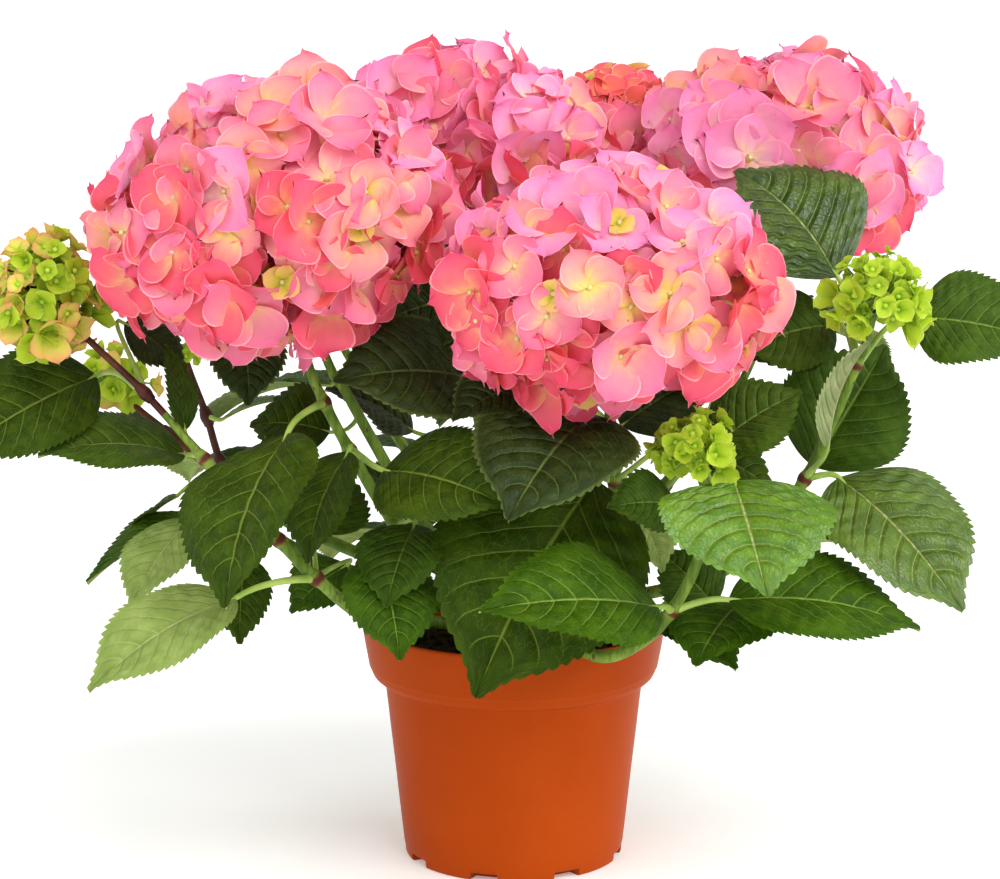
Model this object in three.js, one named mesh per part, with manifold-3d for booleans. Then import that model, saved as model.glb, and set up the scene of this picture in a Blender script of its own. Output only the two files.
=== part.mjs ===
// A potted hydrangea shrub: a low stool of green canes in a plastic nursery pot, with opposite
// leaves, four open mophead blooms, one young bloom and five green bud heads.
//
// Millimetres, +Z up. The origin is the centre of the pot's flat underside; the shrub's front
// looks along -Y and +X is to its right. Each sub-part is one closed solid: the pot, the soil in
// it, the woody stool, one tapering cane for each shoot, and for each shoot its foliage and its
// bloom. Neighbours stay a small gap apart.

import * as THREE from "three";
import Module from "manifold-3d";

const wasm = await Module();
wasm.setup();
const { Manifold, Mesh: SolidMesh } = wasm;

// ---------------------------------------------------------------- driving sizes

const GAP = 0.3;

const POT = {
  height: 112,
  rimRadius: 70,
  edge: 1.2,
  bandFootRadius: 66.4,
  turnRadius: 64.5,
  bandHeight: 22,
  turnMiddle: 26,
  turnHeight: 28.5,
  bodyRadius: 59.4,
  baseRadius: 50,
  wall: 1.4,
  floor: 5,
  notches: 8,
  notchBearing: -29,
  notchWidth: 13,
  notchHeight: 3.6,
  notchDepth: 7,
  sides: 36,
};

const SOIL = { top: 98, sides: 24 };

const STOOL = { radius: 26, shoulder: 23, edge: 2.4, foot: SOIL.top + GAP, top: 106, sides: 14 };

// Canes: "bareShare" is how far under a joint the limb gives way to its foliage, and "joint" how
// many gaps are left there.
const CANE = { sides: 7, rootRadius: 3.4, tipRadius: 2.3, start: STOOL.top + GAP,
  ringsPerNode: 2, bareShare: 0.35, joint: 1.5 };

const PETIOLE = { rootRadius: 1.9, tipRadius: 1.2, sunkRadius: 0.84, sides: 3, sink: 0.14 };

const LEAF = {
  thickness: 1.7,
  rows: [0.11, 0.36, 0.64, 0.87],
  fold: 12,
  arch: 0.09,
};

// Blades that fan out: petiole, rise of the foot, droop of the tip and width, as shares of the
// blade's length.
const FAN = { petiole: 0.3, lift: 0.08, droop: 0.22, width: 0.7 };

// A bloom's florets: the turn from one to the next, how far that and their places, tilts and
// sizes wander, the depth of a floret's dish, how far its foot sinks into the core and how much
// of the way to the middle its stalk runs. "blunt" is the size below which the joined bloom's
// facets are smoothed away.
const BLOOM = {
  turn: 137.508,
  wander: 29,
  swell: 0.12,
  tilt: 0.004,
  sizes: 0.24,
  dish: 0.1,
  sink: 1.15,
  stalk: 0.9,
  blunt: 2,
};

const CORE = { scale: 0.68, columns: 10, rows: 6 };

// Shoots. Each row of "nodes" is a joint of the cane, from the stool upwards (the first row is
// its place on the stool). The cane's bare limb ends just under the node "bare"; from there on
// the cane belongs to the foliage. A blade row is [node, foot, tip, width, roll]: the petiole
// runs from the node to the blade's foot, and roll turns the blade about its midrib. A fan row
// is [node, bearing, length, rise], for a blade that stands straight out from its node. Angles
// are in degrees, bearings counter-clockwise from +X.
const SHOOTS = [
  {
    name: "left",
    nodes: [[-15, -2], [-31, -14, 134], [-53, -38, 164], [-73, -45, 200], [-84, -46, 222],
      [-92, -46, 243]],
    bare: 2,
    blades: [
      [4, [-99, -75, 214], [-123, -133, 151], 76, 22],
      [3, [-73, -61, 203], [-90, -84, 158], 43, 11],
      [3, [-57, -71, 197], [-3, -110, 190], 58, 35],
      [2, [-44, -56, 169], [-56, -86, 139], 42, 0],
      [2, [-60, -60, 156], [-50, -90, 116], 44, 0],
    ],
  },
  {
    name: "left_second",
    nodes: [[-6, -5], [-20, -16, 134], [-44, -32, 168], [-63, -38, 203], [-75, -40, 226],
      [-83, -40, 240]],
    bare: 5,
  },
  {
    name: "front",
    nodes: [[-3, -13], [14, -25, 130], [38, -34, 156], [45, -42, 185], [43, -56, 212],
      [41, -64, 226]],
    bare: 2,
    blades: [
      [3, [33, -46, 187], [-19, -97, 102], 92, -33],
      [4, [33, -70, 222], [-3, -128, 188], 76, -10],
      [3, [50, -40, 176], [66, -52, 146], 38, 0],
      [4, [48, -25, 207], [86, -10, 226], 50, 35],
      [3, [76, -36, 200], [116, -42, 181], 36, 35],
      [4, [7, -54, 232], [-27, -80, 221], 36, -25],
    ],
  },
  {
    name: "centre",
    nodes: [[0, 0], [-6, 8, 150], [-14, 12, 190], [-20, 20, 230], [-24, 36, 262],
      [-24, 48, 284]],
    bare: 1,
    blades: [
      [3, [-16, -30, 229], [-79, -68, 236], 66, -38],
      [3, [-34, -5, 242], [-17, -12, 296], 58, 80],
      [3, [-22, -4, 262], [-64, -16, 251], 52, -40],
      [2, [-46, 6, 198], [-86, 4, 218], 40, -20],
      [1, [-44, 5, 160], [-76, 2, 182], 36, -10],
    ],
  },
  {
    name: "right",
    nodes: [[13, 4], [36, 13, 131], [62, 22, 158], [90, 34, 196], [112, 46, 236],
      [120, 54, 262]],
    bare: 2,
    blades: [
      [3, [92, -4, 238], [62, -20, 226], 40, -20],
      [4, [142, 12, 240], [106, -2, 233], 36, -35],
    ],
    fans: [[4, 38, 70, -10]],
  },
  {
    name: "bud_front",
    nodes: [[5, -12], [18, -58, 119], [38, -77, 114], [56, -78, 121], [69, -78, 135],
      [80, -82, 159], [86, -85, 187], [82, -85, 194]],
    bare: 4,
    blades: [
      [4, [62, -96, 142], [-15, -137, 151], 60, -32],
      [4, [94, -80, 141], [179, -74, 126], 56, 30],
      [6, [95, -92, 197], [106, -148, 160], 78, 0],
      [6, [88, -58, 205], [127, -50, 228], 44, 35],
      [6, [70, -85, 185], [40, -99, 187], 30, -50],
    ],
  },
  {
    name: "bud_right",
    nodes: [[12, -6], [44, -12, 122], [85, -20, 134], [110, -20, 150], [132, -14, 180],
      [144, -22, 210], [153, -29, 236],
      [156, -34, 245]],
    bare: 2,
    blades: [
      [4, [147, -20, 182], [198, -70, 133], 72, 15],
      [4, [137, 2, 182], [171, 20, 235], 62, 50],
      [4, [135, -23, 188], [153, -36, 241], 24, -11],
      [6, [180, -10, 254], [234, -22, 246], 58, 38],
      [6, [145, -14, 273], [100, 8, 318], 80, -22],
      [6, [144, -12, 251], [102, -20, 240], 50, -38],
      [3, [103, -50, 133], [79, -92, 114], 56, 0],
      [2, [66, -42, 122], [98, -76, 108], 42, 0],
      [2, [90, -42, 128], [66, -30, 150], 34, -40],
      [3, [136, 8, 152], [182, 2, 146], 32, 20],
    ],
    fans: [[3, 25, 70, -10]],
  },
  {
    name: "bud_left",
    nodes: [[-14, -10], [-38, -28, 117], [-65, -42, 122], [-88, -58, 145], [-104, -58, 162],
      [-137, -50, 197], [-164, -40, 225], [-189, -28, 246]],
    bare: 3,
    blades: [
      [3, [-122, -85, 143], [-183, -120, 111], 48, -20],
      [4, [-146, -30, 165], [-171, -55, 129], 42, 0],
      [5, [-147, -35, 196], [-211, -50, 199], 46, -22],
      [6, [-189, -10, 227], [-250, -35, 196], 62, -35],
      [5, [-148, -22, 204], [-157, -12, 242], 16, 0],
      [6, [-176, -4, 250], [-149, -2, 229], 30, 40],
      [3, [-76, -24, 142], [-101, -32, 122], 34, -30],
      [3, [-88, -34, 160], [-76, -16, 186], 36, 50],
    ],
  },
  {
    name: "left_back",
    nodes: [[-12, 6], [-55, 8, 124], [-98, 10, 140], [-122, 22, 155], [-136, 34, 176],
      [-143, 38, 198], [-150, 40, 217]],
    bare: 3,
    blades: [
      [5, [-136, 32, 198], [-97, 30, 208], 14, 0],
      [4, [-156, 22, 164], [-177, 28, 142], 26, 0],
      [3, [-123, 0, 140], [-125, -20, 104], 28, 0],
    ],
    fans: [[3, 200, 62, -12]],
  },
  {
    name: "bud_back",
    nodes: [[-15, 13], [-60, 24, 130], [-105, 34, 148], [-138, 46, 168], [-162, 55, 186],
      [-178, 60, 198]],
    bare: 3,
    fans: [[3, 105, 66, -8], [4, 150, 56, -5]],
  },
  {
    name: "back_left",
    nodes: [[-7, 12], [-26, 30, 140], [-45, 42, 172], [-66, 48, 205], [-84, 52, 236]],
    bare: 1,
    blades: [
      [3, [-84, 4, 198], [-121, 10, 200], 44, -38],
      [4, [-124, 8, 248], [-120, -14, 214], 36, 0],
    ],
    fans: [[1, 130, 80, -10], [2, 85, 84, -8], [3, 140, 84, -8], [4, 100, 66, 12]],
  },
  {
    name: "back_middle",
    nodes: [[1, 14], [12, 38, 150], [24, 54, 195], [34, 70, 240], [42, 86, 285],
      [46, 95, 312]],
    bare: 1,
    fans: [[1, 92, 84, -12], [2, 60, 80, -6], [2, 125, 82, -6], [3, 90, 70, 4],
      [4, 150, 56, -10]],
  },
  {
    name: "back_right",
    nodes: [[9, 12], [38, 42, 136], [72, 60, 160], [100, 78, 190], [118, 90, 222]],
    bare: 1,
    fans: [[1, 20, 84, -10], [2, 70, 84, -8], [3, 34, 76, -4], [4, 62, 66, 6], [4, 120, 60, 12]],
  },
];

// Blooms. Each is a dome of florets round a core: "spread" is the angle from the crown of the
// dome down to its last florets. Its stalk carries on from the top node of its shoot.
const BLOOMS = [
  { name: "bloom_left", shoot: "left", centre: [-106, -48, 306], radii: [76, 60, 62], florets: 42,
    floret: 20.5, spread: 130, seed: 11 },
  { name: "bloom_front", shoot: "front", centre: [40, -86, 279], radii: [71, 48, 52], florets: 36,
    floret: 20.5, spread: 130, seed: 23 },
  { name: "bloom_centre", shoot: "centre", centre: [-24, 62, 325], radii: [55, 44, 44],
    florets: 26, floret: 20, spread: 125, seed: 37 },
  { name: "bloom_right", shoot: "right", centre: [124, 68, 312], radii: [69, 50, 49], florets: 34,
    floret: 20.5, spread: 128, seed: 41 },
  { name: "bloom_young", shoot: "back_middle", centre: [48, 100, 334], radii: [24, 22, 18],
    florets: 10, floret: 14, spread: 105, seed: 53 },
  { name: "bud_head_left", shoot: "bud_left", centre: [-210, -25, 266], radii: [20, 20, 28],
    florets: 13, floret: 10, spread: 140, seed: 61 },
  { name: "bud_head_right", shoot: "bud_right", centre: [160, -41, 268], radii: [18, 18, 18],
    florets: 12, floret: 9, spread: 125, seed: 67 },
  { name: "bud_head_front", shoot: "bud_front", centre: [77, -85, 209], radii: [16, 15, 15],
    florets: 10, floret: 8, spread: 120, seed: 71 },
  { name: "bud_head_back", shoot: "bud_back", centre: [-190, 62, 210], radii: [14, 14, 13],
    florets: 8, floret: 7.5, spread: 120, seed: 79 },
  { name: "bud_head_small", shoot: "left_back", centre: [-153, 40, 227], radii: [6, 6, 5],
    florets: 4, floret: 5, spread: 100, seed: 73 },
];

// ---------------------------------------------------------------- small helpers

const degrees = Math.PI / 180;
const up = new THREE.Vector3(0, 0, 1);
const offAxis = new THREE.Vector3(0.31, 0.22, 1);

function point([x, y, z = CANE.start]) {
  return new THREE.Vector3(x, y, z);
}

// Seeded numbers from 0 to 1 (a linear congruential generator small enough to repeat anywhere).
function seeded(seed) {
  let state = (seed * 7919 + 12345) % 233280;
  return () => {
    state = (state * 9301 + 49297) % 233280;
    return state / 233280;
  };
}

// A point on the smooth line through the nodes; "t" counts nodes, so 2.5 is halfway from 2 to 3.
function along(nodes, t) {
  const last = nodes.length - 1;
  const k = Math.min(Math.floor(t), last - 1);
  const f = t - k;
  const p1 = nodes[k];
  const p2 = nodes[k + 1];
  const p0 = k > 0 ? nodes[k - 1] : p1.clone().multiplyScalar(2).sub(p2);
  const p3 = k + 2 <= last ? nodes[k + 2] : p2.clone().multiplyScalar(2).sub(p1);
  const weight = (a, b, c, d) => 0.5 * (2 * b + (c - a) * f + (2 * a - 5 * b + 4 * c - d) * f * f
    + (3 * b - a - 3 * c + d) * f * f * f);
  return new THREE.Vector3(
    weight(p0.x, p1.x, p2.x, p3.x),
    weight(p0.y, p1.y, p2.y, p3.y),
    weight(p0.z, p1.z, p2.z, p3.z),
  );
}

// A closed solid from points and faces; faces of more than three points are cut into a fan.
function solidOf(points, faces) {
  const triangles = [];
  for (const face of faces) {
    for (let k = 1; k + 1 < face.length; k += 1) {
      triangles.push(face[0], face[k], face[k + 1]);
    }
  }
  const flat = points.flatMap((p) => [p.x, p.y, p.z]);
  const mesh = new SolidMesh({
    numProp: 3,
    vertProperties: new Float32Array(flat),
    triVerts: new Uint32Array(triangles),
  });
  return new Manifold(mesh);
}

// A closed solid from rings of equal size, each counter-clockwise as seen from the last ring.
function solidOfRings(rings) {
  const count = rings[0].length;
  const points = rings.flat();
  const faces = [];
  for (let r = 0; r + 1 < rings.length; r += 1) {
    for (let k = 0; k < count; k += 1) {
      const next = (k + 1) % count;
      const low = r * count;
      const high = low + count;
      faces.push([low + k, low + next, high + next, high + k]);
    }
  }
  const top = (rings.length - 1) * count;
  faces.push([...Array(count).keys()].reverse());
  faces.push([...Array(count).keys()].map((k) => top + k));
  return solidOf(points, faces);
}

// A tapering limb through the points given, its rings square to the ways given.
function limb(path, ways, radii, sides) {
  const rings = [];
  let side = new THREE.Vector3(1, 0, 0);
  path.forEach((centre, k) => {
    const ahead = ways[k].clone().normalize();
    side = side.clone().addScaledVector(ahead, -side.dot(ahead)).normalize();
    const other = ahead.clone().cross(side);
    const ring = [];
    for (let s = 0; s < sides; s += 1) {
      const angle = (2 * Math.PI * s) / sides;
      ring.push(centre.clone()
        .addScaledVector(side, radii[k] * Math.cos(angle))
        .addScaledVector(other, radii[k] * Math.sin(angle)));
    }
    rings.push(ring);
  });
  return solidOfRings(rings);
}

// The largest piece of a joined solid: loose scraps and sealed hollows are left out.
function largest(solid) {
  const pieces = solid.decompose();
  return pieces.reduce((best, piece) => (piece.volume() > best.volume() ? piece : best));
}

// A solid of revolution about Z from [radius, height] rows, lowest first, closed by flat ends.
function lathe(profile, sides) {
  return solidOfRings(profile.map(([radius, z]) => {
    const ring = [];
    for (let k = 0; k < sides; k += 1) {
      const angle = (2 * Math.PI * k) / sides;
      ring.push(new THREE.Vector3(radius * Math.cos(angle), radius * Math.sin(angle), z));
    }
    return ring;
  }));
}

// ---------------------------------------------------------------- pot, soil and stool

function potSolid() {
  const bandFoot = POT.height - POT.bandHeight;
  const turnFoot = POT.height - POT.turnHeight;
  const turnMiddle = POT.height - POT.turnMiddle;
  const outside = lathe([
    [POT.baseRadius, 0],
    [POT.bodyRadius, turnFoot],
    [POT.turnRadius, turnMiddle],
    [POT.bandFootRadius, bandFoot],
    [POT.rimRadius, POT.height - POT.edge],
    [POT.rimRadius - POT.edge / 2, POT.height],
  ], POT.sides);
  const inside = lathe([
    [POT.baseRadius - POT.wall, POT.floor],
    [POT.bodyRadius - POT.wall, turnFoot],
    [POT.turnRadius - POT.wall, turnMiddle],
    [POT.bandFootRadius - POT.wall, bandFoot],
    [POT.rimRadius - POT.wall, POT.height + POT.edge],
  ], POT.sides);
  let pot = outside.subtract(inside);
  for (let k = 0; k < POT.notches; k += 1) {
    const bearing = (POT.notchBearing + (360 / POT.notches) * k) * degrees;
    const away = new THREE.Vector3(Math.sin(bearing), -Math.cos(bearing), 0);
    const across = new THREE.Vector3(-away.y, away.x, 0);
    const corners = (z) => [[-1, -1], [1, -1], [1, 1], [-1, 1]].map(([a, b]) => away.clone()
      .multiplyScalar(POT.baseRadius + a * POT.notchDepth)
      .addScaledVector(across, (b * POT.notchWidth) / 2)
      .setZ(z));
    pot = pot.subtract(solidOfRings([corners(-1), corners(POT.notchHeight)]));
  }
  return pot;
}

function soilSolid() {
  const clear = POT.wall + 2 * GAP;
  return lathe([
    [POT.baseRadius - clear, POT.floor + GAP],
    [POT.bodyRadius - clear, POT.height - POT.turnHeight],
    [POT.turnRadius - clear, POT.height - POT.bandHeight],
    [POT.bandFootRadius - clear, SOIL.top],
  ], SOIL.sides);
}

function stoolSolid() {
  return lathe([
    [STOOL.radius, STOOL.foot],
    [STOOL.shoulder, STOOL.top - STOOL.edge],
    [STOOL.shoulder - STOOL.edge / 2, STOOL.top],
  ], STOOL.sides);
}

// ---------------------------------------------------------------- canes, leaves and florets

// The stretch of a cane from node count "from" to node count "to".
function caneStretch(nodes, from, to, flatStart) {
  const path = [];
  const ways = [];
  const radii = [];
  const steps = Math.max(2, Math.round((to - from) * CANE.ringsPerNode));
  for (let k = 0; k <= steps; k += 1) {
    const t = from + ((to - from) * k) / steps;
    const share = t / (nodes.length - 1);
    path.push(along(nodes, t));
    ways.push(k === 0 && flatStart ? up : along(nodes, t + 0.01).sub(along(nodes, t - 0.01)));
    radii.push(CANE.rootRadius + (CANE.tipRadius - CANE.rootRadius) * share);
  }
  return limb(path, ways, radii, CANE.sides);
}

// Half the blade's width as a share of its greatest, from its foot (0) to its tip (1).
function leafOutline(s) {
  return Math.sin(Math.PI * s ** 0.75) ** 0.85;
}

// The blade's frame: where it starts, which way it runs and which way its face looks.
function leafFrame(shoot, [node, footRow, tipRow, width, roll]) {
  const root = point(shoot.nodes[node]);
  const foot = point(footRow);
  const ahead = point(tipRow).sub(foot);
  const reach = ahead.length();
  ahead.normalize();
  const face = up.clone().addScaledVector(ahead, -ahead.z).normalize();
  face.applyAxisAngle(ahead, roll * degrees);
  const side = ahead.clone().cross(face);
  return { root, foot, ahead, face, side, reach, width };
}

// A fan row written out as a blade row.
function fanBlade(shoot, [node, bearing, length, rise]) {
  const root = point(shoot.nodes[node]);
  const flat = Math.cos(rise * degrees);
  const way = new THREE.Vector3(
    Math.cos(bearing * degrees) * flat,
    Math.sin(bearing * degrees) * flat,
    Math.sin(rise * degrees),
  );
  const foot = root.clone().addScaledVector(way, FAN.petiole * length);
  foot.z += FAN.lift * length;
  const tip = foot.clone().addScaledVector(way, length);
  tip.z -= FAN.droop * length;
  return [node, foot.toArray(), tip.toArray(), FAN.width * length, 0];
}

function leafSolids(shoot, row) {
  const { root, foot, ahead, face, side, reach, width } = leafFrame(shoot, row);
  const midrib = (s) => foot.clone()
    .addScaledVector(ahead, reach * s)
    .addScaledVector(face, 4 * LEAF.arch * reach * s * (1 - s));
  const points = [midrib(0)];
  for (const s of LEAF.rows) {
    const half = (width / 2) * leafOutline(s);
    const rise = half * Math.sin(LEAF.fold * degrees);
    const out = half * Math.cos(LEAF.fold * degrees);
    const middle = midrib(s);
    points.push(
      middle.clone().addScaledVector(side, -out).addScaledVector(face, rise),
      middle.clone().addScaledVector(face, LEAF.thickness / 2),
      middle.clone().addScaledVector(side, out).addScaledVector(face, rise),
      middle.clone().addScaledVector(face, -LEAF.thickness / 2),
    );
  }
  points.push(midrib(1));
  const end = points.length - 1;
  const faces = [];
  for (let k = 0; k < 4; k += 1) {
    const next = (k + 1) % 4;
    faces.push([0, 1 + next, 1 + k]);
    for (let r = 0; r + 1 < LEAF.rows.length; r += 1) {
      const low = 1 + 4 * r;
      faces.push([low + k, low + next, low + 4 + next, low + 4 + k]);
    }
    const high = end - 4;
    faces.push([high + k, high + next, end]);
  }
  const sunk = midrib(PETIOLE.sink);
  const way = foot.clone().sub(root);
  const stalk = limb([root, foot, sunk], [way, way.clone().normalize().add(ahead), ahead],
    [PETIOLE.rootRadius, PETIOLE.tipRadius, PETIOLE.sunkRadius], PETIOLE.sides);
  return [solidOf(points, faces), stalk];
}

// A floret: four broad sepals, a corner for each, drawn to a point that is sunk in the core.
function floretSolid(centre, axis, radius, spin, depth) {
  const side = offAxis.clone().cross(axis).normalize();
  const other = axis.clone().cross(side);
  const points = [centre.clone().addScaledVector(axis, radius * BLOOM.dish)];
  const outline = 4;
  for (let k = 0; k < outline; k += 1) {
    const angle = spin + (2 * Math.PI * k) / outline;
    points.push(centre.clone()
      .addScaledVector(side, radius * Math.cos(angle))
      .addScaledVector(other, radius * Math.sin(angle)));
  }
  points.push(centre.clone().addScaledVector(axis, -depth));
  const faces = [];
  for (let k = 0; k < outline; k += 1) {
    const next = (k + 1) % outline;
    faces.push([0, 1 + k, 1 + next]);
    faces.push([outline + 1, 1 + next, 1 + k]);
  }
  return solidOf(points, faces);
}

function ellipsoid(centre, radii, columns, rows) {
  const rings = [];
  for (let r = 1; r < rows; r += 1) {
    const polar = Math.PI * (1 - r / rows);
    const ring = [];
    for (let k = 0; k < columns; k += 1) {
      const angle = (2 * Math.PI * k) / columns;
      ring.push(new THREE.Vector3(
        centre.x + radii[0] * Math.sin(polar) * Math.cos(angle),
        centre.y + radii[1] * Math.sin(polar) * Math.sin(angle),
        centre.z + radii[2] * Math.cos(polar),
      ));
    }
    rings.push(ring);
  }
  return solidOfRings(rings);
}

// Floret places: a golden-angle spiral over the dome, each a little out of line.
function bloomSolids(bloom, centre) {
  const random = seeded(bloom.seed);
  const radii = new THREE.Vector3(...bloom.radii);
  const core = bloom.radii.map((radius) => radius * CORE.scale);
  const pieces = [ellipsoid(centre, core, CORE.columns, CORE.rows)];
  const lowest = Math.cos(bloom.spread * degrees);
  for (let k = 0; k < bloom.florets; k += 1) {
    const level = 1 - ((k + 0.5) / bloom.florets) * (1 - lowest);
    const flat = Math.sqrt(1 - level * level);
    const bearing = (k * BLOOM.turn + BLOOM.wander * random()) * degrees;
    const way = new THREE.Vector3(flat * Math.cos(bearing), flat * Math.sin(bearing), level);
    const swell = 1 + BLOOM.swell * (random() - 0.5);
    const place = way.clone().multiply(radii).multiplyScalar(swell).add(centre);
    const axis = way.clone().divide(radii).add(new THREE.Vector3(
      BLOOM.tilt * (random() - 0.5),
      BLOOM.tilt * (random() - 0.5),
      BLOOM.tilt * (random() - 0.5),
    )).normalize();
    const size = bloom.floret * (1 + BLOOM.sizes * (random() - 0.5));
    const depth = place.distanceTo(centre) * (1 - CORE.scale) * BLOOM.sink;
    pieces.push(floretSolid(place, axis, size, 2 * Math.PI * random(), depth));
  }
  return pieces;
}

// ---------------------------------------------------------------- putting the shrub together

const shrub = new THREE.Group();
shrub.name = "hydrangea_shrub";

const FINISH = {
  pot: { color: 0xc4501c, roughness: 0.42, metalness: 0 },
  soil: { color: 0x2a1c14, roughness: 1, metalness: 0 },
  wood: { color: 0x7a6642, roughness: 0.85, metalness: 0 },
  cane: { color: 0x86a83e, roughness: 0.55, metalness: 0 },
  leaf: { color: 0x2f6b22, roughness: 0.5, metalness: 0 },
  bloom: { color: 0xf0708c, roughness: 0.6, metalness: 0 },
  bud: { color: 0xa4cc32, roughness: 0.55, metalness: 0 },
};

function addPart(name, solid, finish) {
  const mesh = solid.getMesh();
  const geometry = new THREE.BufferGeometry();
  geometry.setAttribute("position", new THREE.BufferAttribute(mesh.vertProperties, 3));
  geometry.setIndex(new THREE.BufferAttribute(mesh.triVerts, 1));
  const part = new THREE.Mesh(geometry, new THREE.MeshStandardMaterial(finish));
  part.name = name;
  shrub.add(part);
}

const finished = [];

function keep(name, solid, finish) {
  finished.push(solid);
  addPart(name, solid, finish);
}

keep("pot", potSolid(), FINISH.pot);
keep("soil", soilSolid(), FINISH.soil);
keep("stool", stoolSolid(), FINISH.wood);

// Where the next stretch of a cane starts, a gap beyond node count "t".
function beyond(nodes, t) {
  const spacing = along(nodes, t + 0.1).distanceTo(along(nodes, t - 0.1)) / 0.2;
  return t + (CANE.joint * GAP) / spacing;
}

const near = (piece, others) => others.some((other) => piece.minGap(other, GAP) < GAP);

const blooms = BLOOMS.map((bloom) => ({ bloom, centre: point(bloom.centre) }));
const masses = [];
for (const shoot of SHOOTS) {
  const top = shoot.nodes.length - 1;
  const crown = blooms.find((entry) => entry.bloom.shoot === shoot.name);
  const nodes = shoot.nodes.map(point);
  if (crown) nodes.push(crown.centre);
  const cut = shoot.bare < top ? shoot.bare - CANE.bareShare : top;
  keep(`cane_${shoot.name}`, caneStretch(nodes, 0, cut, true), FINISH.cane);
  if (cut < top) {
    masses.push({ shoot, stem: caneStretch(nodes, beyond(nodes, cut), top, false), pieces: [] });
  }
  if (crown) crown.stalk = caneStretch(nodes, beyond(nodes, top), top + BLOOM.stalk, false);
}

const built = [];
for (const { bloom, centre, stalk } of blooms) {
  const others = [...finished, ...built];
  const pieces = bloomSolids(bloom, centre).filter((piece) => !near(piece, others));
  built.push(largest(Manifold.union([stalk, ...pieces]).simplify(BLOOM.blunt)));
}

for (const mass of masses) {
  const others = [
    ...finished,
    ...built,
    ...masses.filter((other) => other !== mass).flatMap((other) => [other.stem, ...other.pieces]),
  ];
  const { shoot } = mass;
  const fans = (shoot.fans ?? []).map((row) => fanBlade(shoot, row));
  [...(shoot.blades ?? []), ...fans].forEach((row) => {
    const leaf = leafSolids(shoot, row);
    if (!leaf.some((piece) => near(piece, others))) mass.pieces.push(...leaf);
  });
}

for (const { shoot, stem, pieces } of masses) {
  keep(`foliage_${shoot.name}`, largest(Manifold.union([stem, ...pieces])), FINISH.leaf);
}
BLOOMS.forEach(({ name }, k) => {
  keep(name, built[k], name.startsWith("bud") ? FINISH.bud : FINISH.bloom);
});

export default shrub;
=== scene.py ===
"""The looks of the potted hydrangea: toothed veined leaves, mophead blooms of four-sepalled
florets, lime bud heads, speckled green canes and the moulded nursery pot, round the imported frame.

Places and sizes are in millimetres in the part's own frame, and MM turns them into metres. The
shrub's front looks along -Y. Shoots, blades and blooms repeat the part's rule, carried finer.
"""

import math

import bpy
import numpy as np
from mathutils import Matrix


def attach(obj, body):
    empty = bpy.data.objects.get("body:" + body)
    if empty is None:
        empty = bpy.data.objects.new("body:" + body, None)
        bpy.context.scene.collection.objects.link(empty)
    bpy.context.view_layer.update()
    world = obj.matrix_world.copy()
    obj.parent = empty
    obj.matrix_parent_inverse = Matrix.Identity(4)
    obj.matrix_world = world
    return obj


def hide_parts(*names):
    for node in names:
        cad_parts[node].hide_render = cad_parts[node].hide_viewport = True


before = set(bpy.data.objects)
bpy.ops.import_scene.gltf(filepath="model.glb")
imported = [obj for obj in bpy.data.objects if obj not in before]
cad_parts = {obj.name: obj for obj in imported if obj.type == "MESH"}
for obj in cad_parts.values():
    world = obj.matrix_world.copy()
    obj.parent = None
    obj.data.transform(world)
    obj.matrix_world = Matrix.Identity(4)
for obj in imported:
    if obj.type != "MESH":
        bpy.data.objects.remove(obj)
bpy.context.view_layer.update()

MM = 0.001
UP = np.array([0.0, 0.0, 1.0])
OFF_AXIS = np.array([0.31, 0.22, 1.0])
BAKE_MAP = "OFBake"

# ---- driving sizes

SOIL_TOP = 98
SOIL = {"radius": 63.6, "below": 2.2, "lumps": 0.9, "bits": 420, "bits_radius": 62}
CANE_START = 106.3
CANE_SIDES = 14
CANE_RADIUS = (3.2, 1.9)
JOINT_SWELL = 0.28
PETIOLE_RADIUS = (1.8, 1.15)
LEAF_GROWN = 70
LEAF_ARCH = 0.09
LEAF_FOLD = 12
ROLLED_FOLD = 58
LEAF_THICKNESS = 0.45
FAN = {"petiole": 0.3, "lift": 0.08, "droop": 0.22, "width": 0.7}

# How a blade strays from flat: its sideways bow, the waves of its rim and the quilting between its
# veins as shares of its size, its twist in degrees, and its groove and rib in millimetres.
LEAF_BOW = 0.05
LEAF_WAVE = 0.05
LEAF_PUFF = 0.032
LEAF_TWIST = 26
LEAF_GROOVE = 0.9
LEAF_RIB = 0.7

# The two small blades at the tip of a cane with no head: bearings from its last fan, length, rise.
TIP_BLADES = {"turns": (80, -95), "length": 30, "rise": 42}

# The pot's foot: its notches, the bearing of the first from the front, their width, and the
# radius that they are cut at.
NOTCHES = {"count": 8, "middle": -29.0, "width": 13, "radius": 50}

# Each sun: name, tilt from overhead, bearing and spread in degrees, strength.
SUNS = (("key", 44, 42, 50, 2.3), ("fill", 55, -45, 60, 0.9), ("edge", 78, 92, 25, 1.1))
SKY = 0.62
FLOOR = {"half": 40.0, "shade": 0.94, "glow": 0.22}
CAMERA = {"place": (-0.0063, -1.65, 0.552), "down": 12.2, "lens": 133.2, "sensor": 36}

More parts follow.
